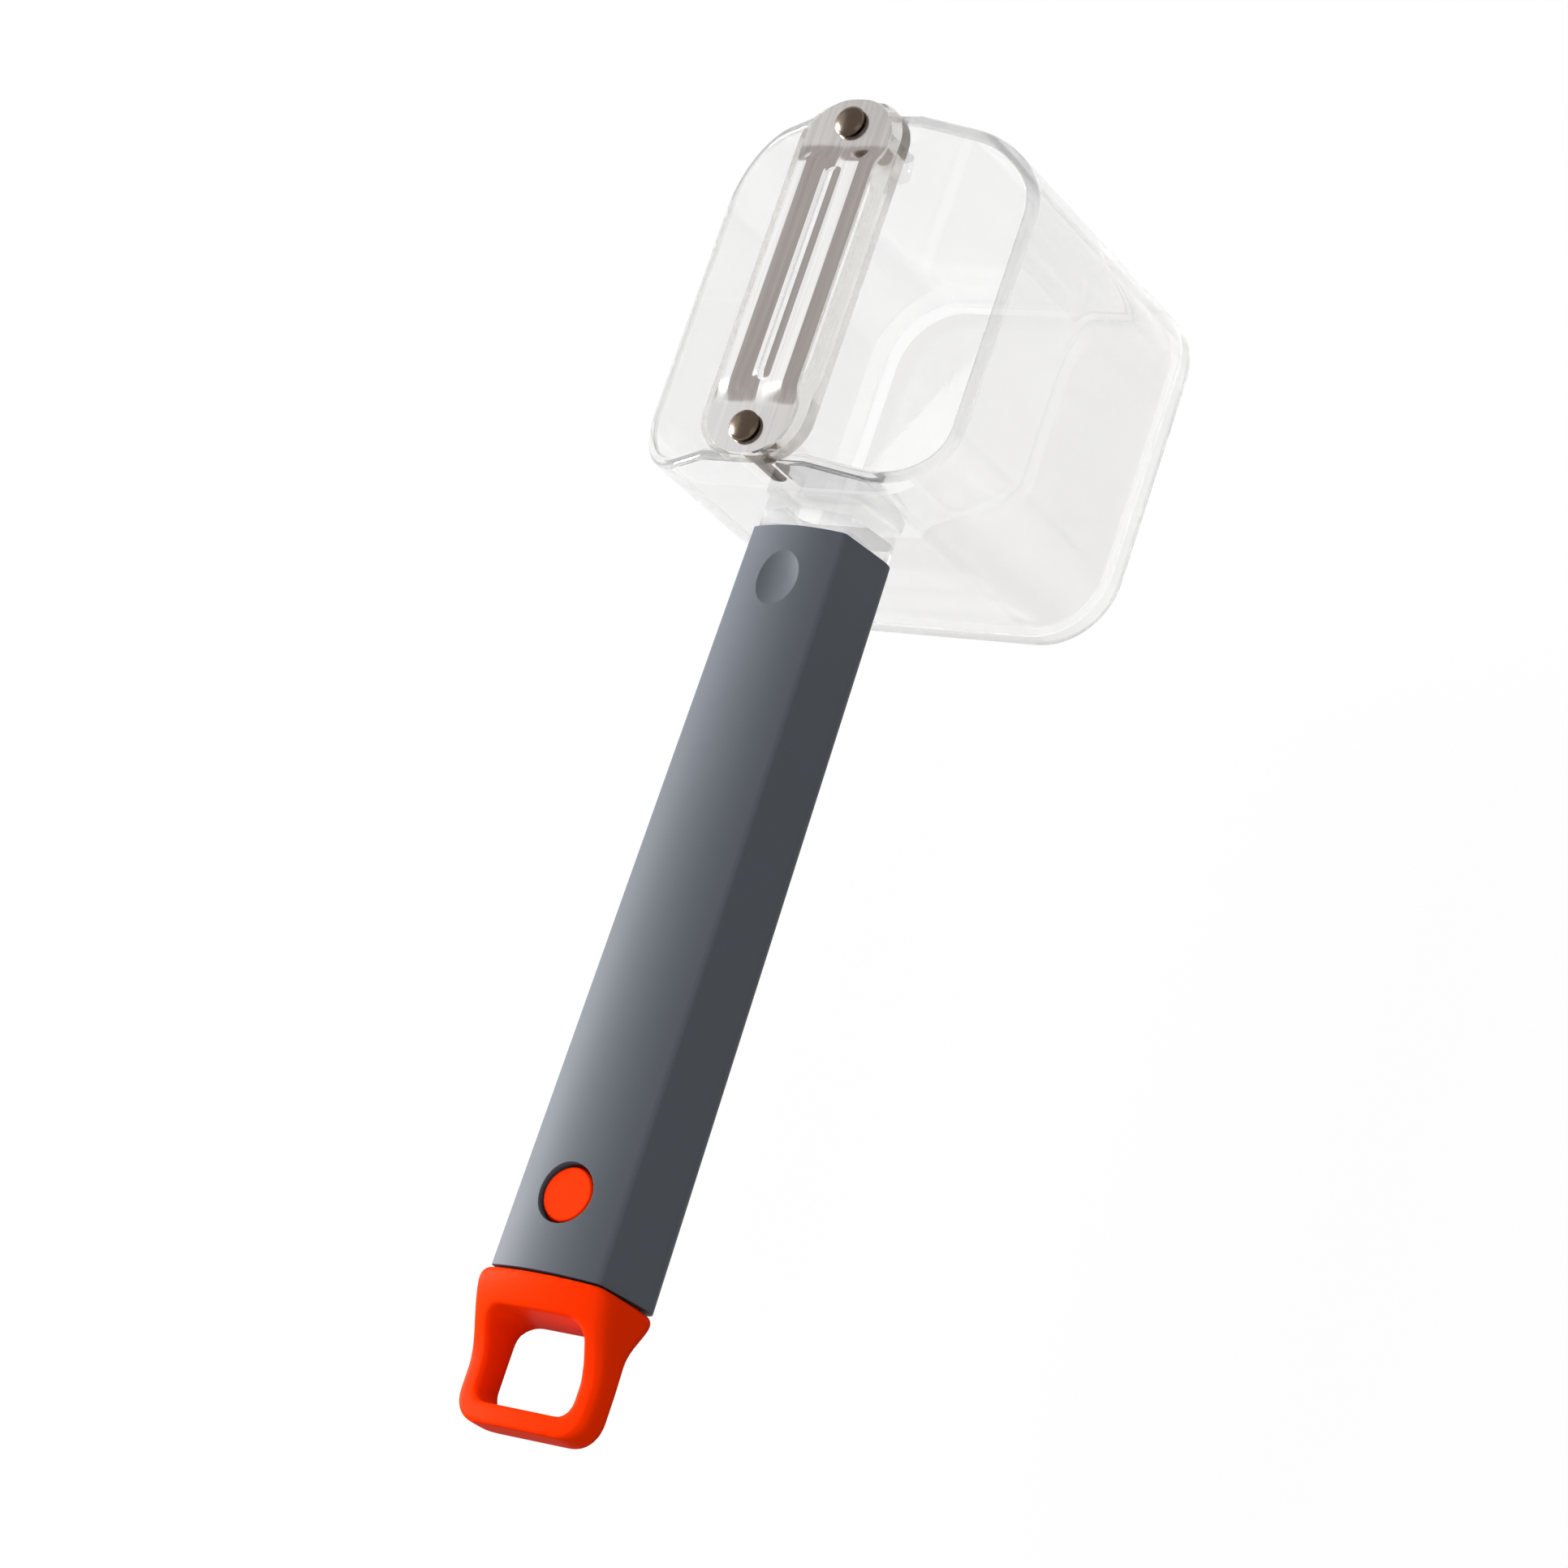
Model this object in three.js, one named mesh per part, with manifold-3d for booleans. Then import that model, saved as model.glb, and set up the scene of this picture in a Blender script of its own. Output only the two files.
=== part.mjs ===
// Straight vegetable peeler with a clear peel bin, a fixed blade and a hollow handle.
// Millimetres. X runs across the blade, Y along the handle to the head, Z from the bin floor to the blade.
import * as THREE from "three";
import { mergeVertices } from "three/addons/utils/BufferGeometryUtils.js";
import Module from "manifold-3d";

const wasm = await Module();
wasm.setup();

// Fits
const seatGap = 0.3;
const slideGap = 0.4;
const overcut = 1;
const weldReach = 1e-4;

// Facets of round forms
const cornerFacets = 8;
const holeFacets = 24;
const postFacets = 40;
const bossFacets = 28;
const pinFacets = 32;
const dishFacets = 96;
const floorFacets = 3;
const capSteps = 6;
const sheetSteps = new THREE.Vector2(32, 44);
const loopSteps = 32;

// Bin
const binWidth = 61;
const binLength = 62.8;
const binCorner = 12.5;
const binWall = 2;
const binFloor = 2;
const floorRound = 1.6;
const rimSide = 55.4;
const rimPeak = 65.2;
const bossRadius = 4;
const bossDepth = 15;
const bossFoot = 5;
const collarLength = 3;
const collarInset = 0.5;
const stemLength = 24;
const stemRidge = 0.8;
const ridgeWidth = 2.4;
const ridgeOffset = 15;

// Bridge and blade
const pinInset = 4;
const tabOverhang = 4.4;
const bladeWidth = 16.4;
const bladeWaist = 15;
const bladeThick = 0.6;
const ridgeSpacing = 10.2;
const ridgeRise = 2.3;
const ridgeSoft = 0.4;
const valleyDrop = 0.2;
const wingRise = 0.5;
const formMargin = 4;
const formLength = 4;
const slotWidth = 1.3;
const lipStart = 2.05;
const lipSlope = 0.45;
const slotMargin = 9;
const bridgeWidth = 20;
const bridgeThick = 2.6;
const railWidth = 2.8;
const bridgeMargin = 5.5;
const tabRound = 7.4;

// Pins
const pinRadius = 1.5;
const pinLength = 13;
const pinTip = 0.5;
const pinHeadRadius = 2.7;
const pinHeadHeight = 1.7;

// Handle
const handleFace = 47.7;
const faceCrown = 1.9;
const handleLength = 127;
const headFaceWidth = 18.3;
const tailFaceWidth = 21.2;
const headDepth = 14;
const tailDepth = 15.4;
const sideFlare = 2.5;
const backRound = 4.6;
const leastRound = 0.7;
const handleWall = 2;
const dimpleRadius = 5.2;
const dimpleDepth = 1;
const dimpleOffset = 9.2;
const buttonOffset = 12.7;
const holeRadius = 5;

// Tail and latch
const loopLength = 23.2;
const loopWidth = 25.6;
const loopRound = 2;
const loopTipDepth = 6.6;
const loopNeck = 15;
const loopBackNeck = 7.5;
const loopBar = 3.4;
const loopSide = 3.6;
const loopCorner = 4.5;
const windowLength = 14.4;
const windowCorner = 2.5;
const plugLength = 35;
const channelWidth = 10.4;
const channelDepth = 7.6;
const armWidth = 9.4;
const armThick = 1.6;
const armDrop = 1.3;
const armRoot = 3;
const buttonRadius = 4.5;
const buttonSet = 0.8;
const buttonDome = 0.5;

// Values that follow from those above
const pinY = binLength / 2 - pinInset;
const bladeLength = 2 * (pinY + tabOverhang);
const bridgeBottom = rimPeak + seatGap;
const bladeBottom = bridgeBottom + bridgeThick + seatGap;
const headUnder = bladeBottom + bladeThick + seatGap;
const pinHole = pinRadius + seatGap;
const collarEnd = -binLength / 2 - collarLength;
const handleHead = collarEnd - seatGap;
const handleTail = handleHead - handleLength;
const buttonY = handleTail + buttonOffset;
const handleTop = handleFace + faceCrown;
const boreTop = handleTop - handleWall;
const plugEnd = handleTail + plugLength;

// Solid modelling helpers
function solid(geometry) {
  const clean = geometry.clone();
  clean.deleteAttribute("normal");
  clean.deleteAttribute("uv");
  const merged = mergeVertices(clean, weldReach);
  const mesh = new wasm.Mesh({
    numProp: 3,
    vertProperties: new Float32Array(merged.attributes.position.array),
    triVerts: new Uint32Array(merged.index.array),
  });
  return new wasm.Manifold(mesh);
}

function geometryOf(body) {
  const mesh = body.getMesh();
  const geometry = new THREE.BufferGeometry();
  geometry.setAttribute("position", new THREE.BufferAttribute(new Float32Array(mesh.vertProperties), 3));
  geometry.setIndex(new THREE.BufferAttribute(new Uint32Array(mesh.triVerts), 1));
  const flat = geometry.toNonIndexed();
  flat.computeVertexNormals();
  return flat;
}

function reshape(geometry, move) {
  const position = geometry.attributes.position;
  const point = new THREE.Vector3();
  for (let i = 0; i < position.count; i += 1) {
    move(point.fromBufferAttribute(position, i));
    position.setXYZ(i, point.x, point.y, point.z);
  }
  return geometry;
}

function box(width, length, height, x, y, z) {
  return solid(new THREE.BoxGeometry(width, length, height).translate(x, y, z + height / 2));
}

// A cylinder that stands along Z on the height given
function post(radius, height, x, y, z, segments = postFacets) {
  const cylinder = new THREE.CylinderGeometry(radius, radius, height, segments);
  return solid(cylinder.rotateX(Math.PI / 2).translate(x, y, z + height / 2));
}

function roundedRectangle(width, length, radius) {
  const x = width / 2;
  const y = length / 2;
  const shape = new THREE.Shape();
  shape.moveTo(x, radius - y);
  shape.lineTo(x, y - radius);
  shape.absarc(x - radius, y - radius, radius, 0, Math.PI / 2);
  shape.lineTo(radius - x, y);
  shape.absarc(radius - x, y - radius, radius, Math.PI / 2, Math.PI);
  shape.lineTo(-x, radius - y);
  shape.absarc(radius - x, radius - y, radius, Math.PI, Math.PI * 1.5);
  shape.lineTo(x - radius, -y);
  shape.absarc(x - radius, radius - y, radius, Math.PI * 1.5, Math.PI * 2);
  return shape;
}

function raised(shape, height, z) {
  const options = { depth: height, bevelEnabled: false, curveSegments: cornerFacets };
  return new THREE.ExtrudeGeometry(shape, options).translate(0, 0, z);
}

// A side outline drawn as (X, Z) and run along Y from one place to another
function alongY(shape, from, to, steps = 1) {
  const options = { depth: to - from, steps, bevelEnabled: false, curveSegments: cornerFacets };
  return new THREE.ExtrudeGeometry(shape, options).rotateX(Math.PI / 2).translate(0, to, 0);
}

// The handle section: a crowned face in front, sides that flare backwards and a rounded back
function handleSection(faceWidth, depth, inset) {
  const front = faceWidth / 2 - inset;
  const back = faceWidth / 2 + sideFlare - inset;
  const edge = handleFace - inset;
  const bottom = handleFace - depth + inset;
  const turn = Math.max(backRound - inset, leastRound);
  const shape = new THREE.Shape();
  shape.moveTo(front, edge);
  shape.quadraticCurveTo(0, edge + 2 * faceCrown, -front, edge);
  shape.lineTo(-back, bottom + turn);
  shape.quadraticCurveTo(-back, bottom, turn - back, bottom);
  shape.lineTo(back - turn, bottom);
  shape.quadraticCurveTo(back, bottom, back, bottom + turn);
  return shape;
}

// A handle section run between two places, narrower towards the head as the handle is
function handleRun(inset, from, to) {
  const geometry = alongY(handleSection(tailFaceWidth, tailDepth, inset), from, to);
  return solid(reshape(geometry, (point) => {
    const share = (point.y - handleTail) / handleLength;
    point.x *= 1 + share * (headFaceWidth / tailFaceWidth - 1);
    point.z = handleFace + (point.z - handleFace) * (1 + share * (headDepth / tailDepth - 1));
  }));
}

function buildBin() {
  const options = {
    depth: rimPeak, bevelSize: floorRound, bevelThickness: floorRound, bevelOffset: -floorRound,
    bevelSegments: floorFacets, curveSegments: cornerFacets,
  };
  const blank = new THREE.ExtrudeGeometry(roundedRectangle(binWidth, binLength, binCorner), options);
  const above = box(binWidth * 2, binLength * 2, rimPeak, 0, 0, rimPeak);
  const outer = solid(blank.translate(0, 0, floorRound)).subtract(above);
  const inside = roundedRectangle(binWidth - 2 * binWall, binLength - 2 * binWall, binCorner - binWall);
  let body = outer.subtract(solid(raised(inside, rimPeak, binFloor)));

  // Bosses for the pins grow out of the end walls
  for (const side of [-1, 1]) {
    const profile = [
      new THREE.Vector2(0, 0), new THREE.Vector2(bossRadius, bossFoot),
      new THREE.Vector2(bossRadius, bossDepth), new THREE.Vector2(0, bossDepth),
    ];
    const boss = new THREE.LatheGeometry(profile, bossFacets).rotateX(Math.PI / 2);
    boss.translate(0, side * pinY, rimPeak - bossDepth);
    body = body.add(solid(boss).intersect(outer));
    const holeFloor = rimPeak - pinLength + seatGap;
    body = body.subtract(post(pinHole, bossDepth, 0, side * pinY, holeFloor, holeFacets));
  }

  // The rim falls away on both sides of the blade
  for (const side of [-1, 1]) {
    const cut = new THREE.Shape();
    cut.moveTo(side * bridgeWidth / 2, rimPeak);
    cut.lineTo(side * binWidth / 2, rimSide);
    cut.lineTo(side * binWidth, rimSide);
    cut.lineTo(side * binWidth, rimPeak + overcut);
    cut.lineTo(side * bridgeWidth / 2, rimPeak + overcut);
    body = body.subtract(solid(alongY(cut, -binLength, binLength)));
  }

  // Collar against the handle and the stem inside it
  const wallMiddle = -binLength / 2 + binWall / 2;
  body = body.add(handleRun(collarInset, collarEnd, wallMiddle));
  body = body.add(handleRun(handleWall + slideGap, collarEnd - stemLength, wallMiddle));
  const stemBack = handleFace - headDepth + handleWall + slideGap;
  const ridgeY = collarEnd - ridgeOffset;
  const ridgeReach = stemRidge + slideGap;
  return body.add(box(channelWidth, ridgeWidth, 2 * ridgeReach, 0, ridgeY, stemBack - ridgeReach));
}

// Cuts the two pin holes and a round-ended opening along the middle of a plate
function pierced(body, opening, bottom, height) {
  const middle = roundedRectangle(opening.x, opening.y, opening.x / 2);
  let cut = body.subtract(solid(raised(middle, height, bottom)));
  for (const side of [-1, 1]) {
    cut = cut.subtract(post(pinHole, height, 0, side * pinY, bottom, holeFacets));
  }
  return cut;
}

function buildBridge() {
  const outline = roundedRectangle(bridgeWidth, bladeLength, tabRound);
  const frame = solid(raised(outline, bridgeThick, bridgeBottom));
  const opening = new THREE.Vector2(bridgeWidth - 2 * railWidth, 2 * (pinY - bridgeMargin));
  return pierced(frame, opening, bridgeBottom - overcut, bridgeThick + 2 * overcut);
}

// Height of the pressed form of the blade: two blunt ridges between the wings and the raised lips of the slot
function formHeight(x, y) {
  const ridge = ridgeSpacing / 2;
  const fromEdge = Math.max(bladeWaist / 2 - Math.abs(x), 0);
  const innerSlope = (ridgeRise + valleyDrop) / ridge;
  const inner = innerSlope * Math.abs(x) - valleyDrop;
  const lip = innerSlope * lipStart - valleyDrop + lipSlope * (lipStart - Math.abs(x));
  const middle = Math.max(inner, lip);
  const outer = wingRise + (ridgeRise - wingRise) * fromEdge / (bladeWaist / 2 - ridge);
  const blunt = (middle + outer - Math.hypot(middle - outer, ridgeSoft)) / 2;
  const along = (pinY - formMargin - Math.abs(y)) / formLength;
  return blunt * THREE.MathUtils.smoothstep(along, 0, 1);
}

function buildBlade() {
  const sheet = new THREE.BoxGeometry(bladeWidth, bladeLength, bladeThick, sheetSteps.x, sheetSteps.y, 1);
  const formed = reshape(sheet.translate(0, 0, bladeBottom + bladeThick / 2), (point) => {
    point.z += formHeight(point.x, point.y);
  });

  // The outline is a narrow waist between two round tabs
  const bottom = bladeBottom - overcut;
  const height = bladeThick + ridgeRise + 2 * overcut;
  let punch = box(bladeWaist, 2 * pinY, height, 0, 0, bottom);
  for (const side of [-1, 1]) {
    const tabLength = 2 * tabRound + overcut;
    const tab = raised(roundedRectangle(bladeWidth, tabLength, tabRound), height, bottom);
    punch = punch.add(solid(tab.translate(0, side * (bladeLength - tabLength) / 2, 0)));
  }
  const slot = new THREE.Vector2(slotWidth, 2 * (pinY - slotMargin));
  return solid(formed).intersect(pierced(punch, slot, bottom - overcut, height + 2 * overcut));
}

function buildPin(side) {
  const profile = [
    new THREE.Vector2(0, -pinLength),
    new THREE.Vector2(pinRadius - pinTip, -pinLength),
    new THREE.Vector2(pinRadius, pinTip - pinLength),
    new THREE.Vector2(pinRadius, 0),
    new THREE.Vector2(pinHeadRadius, 0),
  ];
  for (let i = 1; i <= capSteps; i += 1) {
    const angle = (i / capSteps) * Math.PI / 2;
    profile.push(new THREE.Vector2(pinHeadRadius * Math.cos(angle), pinHeadHeight * Math.sin(angle)));
  }
  const pin = new THREE.LatheGeometry(profile, pinFacets).rotateX(Math.PI / 2);
  return solid(pin.translate(0, side * pinY, headUnder));
}

function buildHandle() {
  let body = handleRun(0, handleTail, handleHead);
  body = body.subtract(handleRun(handleWall, handleTail - overcut, handleHead + overcut));
  body = body.subtract(post(holeRadius, 3 * handleWall, 0, buttonY, boreTop - handleWall));

  // Thumb dimple
  const dishRadius = (dimpleRadius ** 2 + dimpleDepth ** 2) / (2 * dimpleDepth);
  const dish = new THREE.SphereGeometry(dishRadius, dishFacets, dishFacets / 2);
  dish.translate(0, handleHead - dimpleOffset, handleTop + dishRadius - dimpleDepth);
  body = body.subtract(solid(dish));

  // Pocket for the ridge on the stem
  const boreBack = handleFace - headDepth + handleWall;
  const ridgeY = collarEnd - ridgeOffset;
  const pocketWidth = channelWidth + 2 * slideGap;
  const pocketLength = ridgeWidth + 2 * slideGap;
  const pocketDepth = 2 * stemRidge;
  return body.subtract(box(pocketWidth, pocketLength, pocketDepth, 0, ridgeY, boreBack - pocketDepth));
}

// The loop section: upright sides, rounded edges and the crowned face of the handle
function loopSection() {
  const half = loopWidth / 2;
  const flat = half - loopRound;
  const bottom = handleFace - tailDepth;
  const lean = 2 * faceCrown * loopRound / flat;
  const shape = new THREE.Shape();
  shape.moveTo(half, handleFace - lean - loopRound);
  shape.quadraticCurveTo(half, handleFace - lean, flat, handleFace);
  shape.quadraticCurveTo(0, handleFace + 2 * faceCrown, -flat, handleFace);
  shape.quadraticCurveTo(-half, handleFace - lean, -half, handleFace - lean - loopRound);
  shape.lineTo(-half, bottom + loopRound);
  shape.quadraticCurveTo(-half, bottom, -flat, bottom);
  shape.lineTo(flat, bottom);
  shape.quadraticCurveTo(half, bottom, half, bottom + loopRound);
  return shape;
}

function buildTail() {
  const start = handleTail - seatGap;
  const loopEnd = start - loopLength;
  const middle = handleFace - tailDepth / 2;

  // As deep as the handle at its root, thin over the window, with round corners at its end
  const back = handleFace - tailDepth;
  const loft = reshape(alongY(loopSection(), loopEnd, start, loopSteps), (point) => {
    const topEase = THREE.MathUtils.smoothstep(start - point.y, 0, loopNeck);
    const backEase = THREE.MathUtils.smoothstep(start - point.y, 0, loopBackNeck);
    const top = THREE.MathUtils.lerp(handleTop, middle + loopTipDepth / 2, topEase);
    const bottom = THREE.MathUtils.lerp(back, middle - loopTipDepth / 2, backEase);
    point.z = bottom + (point.z - back) / (handleTop - back) * (top - bottom);
    const intoCorner = THREE.MathUtils.clamp(loopCorner - (point.y - loopEnd), 0, loopCorner);
    const inset = loopCorner - Math.sqrt(loopCorner ** 2 - intoCorner ** 2);
    point.x *= 1 - inset / (loopWidth / 2);
  });
  let body = solid(loft);

  // Window to hang it by
  const window = roundedRectangle(loopWidth - 2 * loopSide, windowLength, windowCorner);
  const windowY = loopEnd + loopBar + windowLength / 2;
  body = body.subtract(solid(raised(window, tailDepth * 2, middle - tailDepth).translate(0, windowY, 0)));

  // Plug inside the handle, with a channel for the latch arm
  body = body.add(handleRun(handleWall + slideGap, start - overcut, plugEnd));
  const channelLength = plugLength - overcut;
  const channelY = plugEnd - channelLength / 2 + overcut;
  const channelBottom = boreTop - channelDepth;
  return body.subtract(box(channelWidth, channelLength, channelDepth * 2, 0, channelY, channelBottom));
}

function buildLatch() {
  const armTop = boreTop - armDrop;
  const tipY = buttonY - buttonRadius - seatGap;
  const rootY = plugEnd - seatGap;
  let body = box(armWidth, rootY - tipY, armThick, 0, (rootY + tipY) / 2, armTop - armThick);
  const rootHeight = channelDepth - armDrop - seatGap;
  body = body.add(box(armWidth, armRoot, rootHeight, 0, rootY - armRoot / 2, armTop - rootHeight));
  const buttonTop = handleTop - buttonSet;
  const buttonFoot = armTop - armThick / 2;
  const profile = [new THREE.Vector2(0, buttonFoot), new THREE.Vector2(buttonRadius, buttonFoot)];
  for (let i = 0; i <= capSteps; i += 1) {
    const angle = (i / capSteps) * Math.PI / 2;
    const radius = buttonRadius - buttonDome + buttonDome * Math.cos(angle);
    profile.push(new THREE.Vector2(radius, buttonTop - buttonDome + buttonDome * Math.sin(angle)));
  }
  profile.push(new THREE.Vector2(0, buttonTop));
  const button = new THREE.LatheGeometry(profile, postFacets).rotateX(Math.PI / 2);
  return body.add(solid(button.translate(0, buttonY, 0)));
}

function material(color, roughness, metalness, opacity = 1) {
  return new THREE.MeshStandardMaterial({ color, roughness, metalness, opacity, transparent: opacity < 1 });
}

function piece(name, body, look) {
  const mesh = new THREE.Mesh(geometryOf(body), look);
  mesh.name = name;
  return mesh;
}

const peeler = new THREE.Group();
peeler.name = "vegetable_peeler";
peeler.add(
  piece("bin", buildBin(), material(0xf2f2f2, 0.08, 0, 0.3)),
  piece("blade_bridge", buildBridge(), material(0xf0eee6, 0.1, 0, 0.35)),
  piece("blade", buildBlade(), material(0xc9c8c6, 0.2, 1)),
  piece("blade_rivet_upper", buildPin(1), material(0x6b5646, 0.25, 1)),
  piece("blade_rivet_lower", buildPin(-1), material(0x6b5646, 0.25, 1)),
  piece("handle_shell", buildHandle(), material(0x6d737b, 0.55, 0)),
  piece("tail_loop", buildTail(), material(0xff4605, 0.4, 0)),
  piece("latch_arm", buildLatch(), material(0xff4605, 0.4, 0)),
);

export default peeler;
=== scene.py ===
import math

import bmesh
import bpy
from mathutils import Matrix, Vector


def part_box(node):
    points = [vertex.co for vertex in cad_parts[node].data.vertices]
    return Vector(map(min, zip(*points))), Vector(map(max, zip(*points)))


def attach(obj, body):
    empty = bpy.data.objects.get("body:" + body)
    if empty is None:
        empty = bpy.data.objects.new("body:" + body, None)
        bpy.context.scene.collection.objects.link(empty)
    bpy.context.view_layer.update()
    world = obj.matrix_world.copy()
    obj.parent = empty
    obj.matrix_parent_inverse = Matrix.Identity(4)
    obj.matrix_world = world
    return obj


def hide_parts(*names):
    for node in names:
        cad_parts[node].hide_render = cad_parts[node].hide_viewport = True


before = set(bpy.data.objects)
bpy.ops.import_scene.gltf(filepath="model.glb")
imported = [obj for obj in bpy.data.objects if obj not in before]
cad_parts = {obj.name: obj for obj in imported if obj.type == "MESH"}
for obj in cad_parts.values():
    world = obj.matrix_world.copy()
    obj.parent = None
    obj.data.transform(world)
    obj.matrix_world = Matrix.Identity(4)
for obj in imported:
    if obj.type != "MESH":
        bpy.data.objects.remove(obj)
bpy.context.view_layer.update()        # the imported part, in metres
mm = 0.001
tiny = 1e-6              # points closer than this count as one
smoothAngle = math.radians(35)
print("frame:", len(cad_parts), "nodes")

# Places that several pieces share
pinLow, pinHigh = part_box("blade_rivet_upper")
pinY = (pinLow.y + pinHigh.y) / 2
shellLow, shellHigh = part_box("handle_shell")
handleTail, handleHead = shellLow.y, shellHigh.y
handleTop = shellHigh.z


# Mesh helpers
def makeObject(name, bm):
    mesh = bpy.data.meshes.new(name)
    bm.to_mesh(mesh)
    bm.free()
    obj = bpy.data.objects.new(name, mesh)
    bpy.context.scene.collection.objects.link(obj)
    return obj


def extrudeAll(bm, path):
    grown = bmesh.ops.extrude_face_region(bm, geom=bm.faces[:], use_keep_orig=True)
    moved = [part for part in grown["geom"] if isinstance(part, bmesh.types.BMVert)]
    bmesh.ops.translate(bm, vec=path, verts=moved)
    bmesh.ops.recalc_face_normals(bm, faces=bm.faces[:])


def roundCorners(bm, verts, radius, segments):
    bmesh.ops.bevel(bm, geom=verts, offset=radius, segments=segments, profile=0.5,
                    affect="VERTICES", material=-1)


def roundEdges(bm, edges, radius, segments):
    bmesh.ops.bevel(bm, geom=edges, offset=radius, segments=segments, profile=0.5,
                    affect="EDGES", material=-1)


def isUpright(edge):
    return abs(edge.verts[0].co.z - edge.verts[1].co.z) > mm


def plate(width, length, corner, middle, bottom, height, segments=12):
    bm = bmesh.new()
    for signX, signY in ((1, -1), (1, 1), (-1, 1), (-1, -1)):
        bm.verts.new((signX * width / 2, middle + signY * length / 2, bottom))
    bm.faces.new(bm.verts[:])
    if corner:
        roundCorners(bm, bm.verts[:], corner, segments)
        bmesh.ops.remove_doubles(bm, verts=bm.verts[:], dist=tiny)
    extrudeAll(bm, (0, 0, height))
    return bm


def roundEnded(width, length, bottom, height):
    corner = 0.98 * width / 2        # a little less than a full round, so that no edge has zero length
    return plate(width, length, corner, 0, bottom, height)


def post(radius, middle, bottom, height, segments):
    bm = bmesh.new()
    spot = Matrix.Translation((0, middle, bottom + height / 2))
    bmesh.ops.create_cone(bm, cap_ends=True, segments=segments, radius1=radius, radius2=radius,
                          depth=height, matrix=spot)
    return bm


def applied(obj):
    graph = bpy.context.evaluated_depsgraph_get()
    return bpy.data.meshes.new_from_object(obj.evaluated_get(graph))


def carve(base, *steps):
    holder = makeObject("carveBase", base)
    tools = []
    for operation, tool in steps:
        tools.append(makeObject("carveTool", tool))
        modifier = holder.modifiers.new("carve", "BOOLEAN")
        modifier.operation = operation
        modifier.solver = "EXACT"
        modifier.object = tools[-1]
    mesh = applied(holder)
    carved = bmesh.new()
    carved.from_mesh(mesh)
    bpy.data.meshes.remove(mesh)
    for obj in [holder] + tools:
        bpy.data.meshes.remove(obj.data)
    return carved


def pinHoles(radius, bottom, height, segments=32):
    return [("DIFFERENCE", post(radius, side * pinY, bottom, height, segments)) for side in (-1, 1)]


def easedShare(value):
    share = min(max(value, 0), 1)
    return share * share * (3 - 2 * share)


def softEdges(obj, shape):
    modifier = obj.modifiers.new("softEdges", "BEVEL")
    modifier.width = shape["soften"]
    modifier.segments = shape["softenSteps"]
    modifier.limit_method = "ANGLE"
    modifier.angle_limit = math.radians(shape["softenAngle"])
    modifier.use_clamp_overlap = True
    weights = obj.modifiers.new("flatWalls", "WEIGHTED_NORMAL")        # big walls stay flat beside rounds
    weights.weight = 100
    weights.keep_sharp = True


def place(obj, material, body, node):
    obj.data.materials.clear()
    obj.data.materials.append(material)
    obj.data.shade_smooth()
    obj.data.set_sharp_from_angle(angle=smoothAngle)
    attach(obj, body)
    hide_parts(node)
    print("made", obj.name, len(obj.data.polygons), "faces")


# Node helpers
def mathIn(tree):
    def calc(operation, first, second=0.0):
        node = tree.nodes.new("ShaderNodeMath")
        node.operation = operation
        for socket, value in zip(node.inputs, (first, second)):
            if isinstance(value, (int, float)):
                socket.default_value = value
            else:
                tree.links.new(value, socket)
        return node.outputs[0]
    return calc


def objectSpot(tree):
    return tree.nodes.new("ShaderNodeTexCoord").outputs["Object"]


def setInputs(node, values):
    for label, value in values.items():
        node.inputs[label].default_value = value


def mixShaders(tree, share, first, second):
    mix = tree.nodes.new("ShaderNodeMixShader")
    tree.links.new(share, mix.inputs["Fac"])
    tree.links.new(first, mix.inputs[1])
    tree.links.new(second, mix.inputs[2])
    return mix.outputs["Shader"]


def mixColors(tree, share, first, second):
    mix = tree.nodes.new("ShaderNodeMix")
    mix.data_type = "RGBA"
    tree.links.new(share, mix.inputs["Factor"])
    mix.inputs[6].default_value = first          # the two colour sockets and the colour output
    mix.inputs[7].default_value = second
    return mix.outputs[2]


# Shared surface effects
def newGroup(name, inputs):
    group = bpy.data.node_groups.new(name, "ShaderNodeTree")
    for label, start in inputs.items():
        kind = "NodeSocketColor" if isinstance(start, tuple) else "NodeSocketFloat"
        socket = group.interface.new_socket(name=label, in_out="INPUT", socket_type=kind)
        socket.default_value = start
    for label, kind in (("Color", "NodeSocketColor"), ("Roughness", "NodeSocketFloat"),
                        ("Height", "NodeSocketFloat")):
        group.interface.new_socket(name=label, in_out="OUTPUT", socket_type=kind)
    return group, group.nodes.new("NodeGroupInput").outputs, group.nodes.new("NodeGroupOutput").inputs


def unevenFinish(group, taken, given, pattern, height):
    # the pattern swings the colour and the gloss, and the height is put out for a bump
    calc = mathIn(group)
    swing = calc("SUBTRACT", pattern, 0.5)
    bright = group.nodes.new("ShaderNodeHueSaturation")
    group.links.new(calc("ADD", calc("MULTIPLY", swing, taken["Mottle"]), 1.0), bright.inputs["Value"])
    group.links.new(taken["Color"], bright.inputs["Color"])
    group.links.new(bright.outputs["Color"], given["Color"])
    gloss = calc("ADD", calc("MULTIPLY", swing, taken["Spread"]), taken["Roughness"])
    group.links.new(gloss, given["Roughness"])
    group.links.new(height, given["Height"])


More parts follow.
